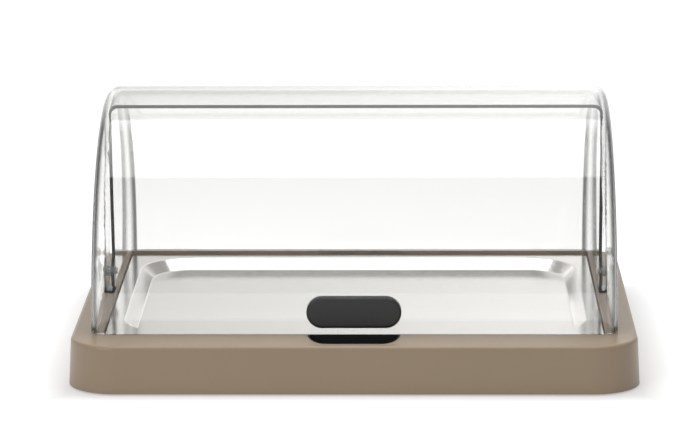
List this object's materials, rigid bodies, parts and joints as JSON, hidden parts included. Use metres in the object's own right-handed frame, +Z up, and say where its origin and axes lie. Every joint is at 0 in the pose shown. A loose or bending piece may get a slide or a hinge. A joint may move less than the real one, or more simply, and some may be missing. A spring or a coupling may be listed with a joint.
{
  "type": "refrigerated buffet display",
  "caption": "Cold buffet display case: taupe base over cold packs, polished steel serving tray and a clear two-part roll-top lid with a dark grip.",
  "frame": {"origin": "centre of the base's footprint, on the table plane under the feet", "axes": "+X to the right seen from the front, +Y from the front with the handle to the rear, +Z up"},
  "size_m": [0.44, 0.3422, 0.2039],
  "materials": {
    "base_plastic": "taupe moulded plastic with a fine satin gloss",
    "polished_steel": "polished stainless steel sheet",
    "clear_plastic": "clear polycarbonate, polished",
    "handle_plastic": "dark grey satin plastic",
    "recess_plastic": "black matt plastic",
    "screw_steel": "bright plated steel",
    "pin_plastic": "pale translucent plastic",
    "cover_plastic": "black textured plastic",
    "tub_plastic": "white thermoformed plastic",
    "foam": "black closed-cell foam",
    "pack_plastic": "blue blow-moulded plastic",
    "cap_plastic": "white plastic",
    "foot_rubber": "black rubber"
  },
  "bodies": {
    "base": {"base_shell": "base_plastic", "front_finger_cup": "recess_plastic", "rear_finger_cup": "base_plastic", "bottom_cover": "cover_plastic", "cover_screws": "screw_steel", "inner_tub": "tub_plastic", "foam_insulation": "foam", "bracket_screws": "screw_steel", "foot_front_left": "foot_rubber", "foot_front_right": "foot_rubber", "foot_rear_left": "foot_rubber", "foot_rear_right": "foot_rubber", "cold_pack_left": "pack_plastic", "cold_pack_right": "pack_plastic", "cold_pack_cap_left": "cap_plastic", "cold_pack_cap_right": "cap_plastic", "pivot_bracket_left": "clear_plastic", "pivot_bracket_right": "clear_plastic", "pivot_pin_left": "pin_plastic", "pivot_pin_right": "pin_plastic", "pivot_spacer_left": "pin_plastic", "pivot_spacer_right": "pin_plastic"},
    "front_lid": {"front_lid": "clear_plastic", "lid_handle": "handle_plastic", "handle_screws": "screw_steel"},
    "rear_lid": {"rear_lid": "clear_plastic"},
    "serving_tray": {"serving_tray": "polished_steel"}
  },
  "joints": [
    {"name": "front_lid_pivot", "type": "hinge", "parent": "base", "child": "front_lid", "pos_m": [0, 0.0172, 0.0542], "axis": [-1, 0, 0], "range_deg": [0, 80]},
    {"name": "rear_lid_pivot", "type": "hinge", "parent": "base", "child": "rear_lid", "pos_m": [0, 0.0172, 0.0542], "axis": [1, 0, 0], "range_deg": [0, 64.5]},
    {"name": "tray_lift", "type": "slide", "parent": "base", "child": "serving_tray", "axis": [0, 0, 1], "range_m": [0, 0.03]}
  ]
}
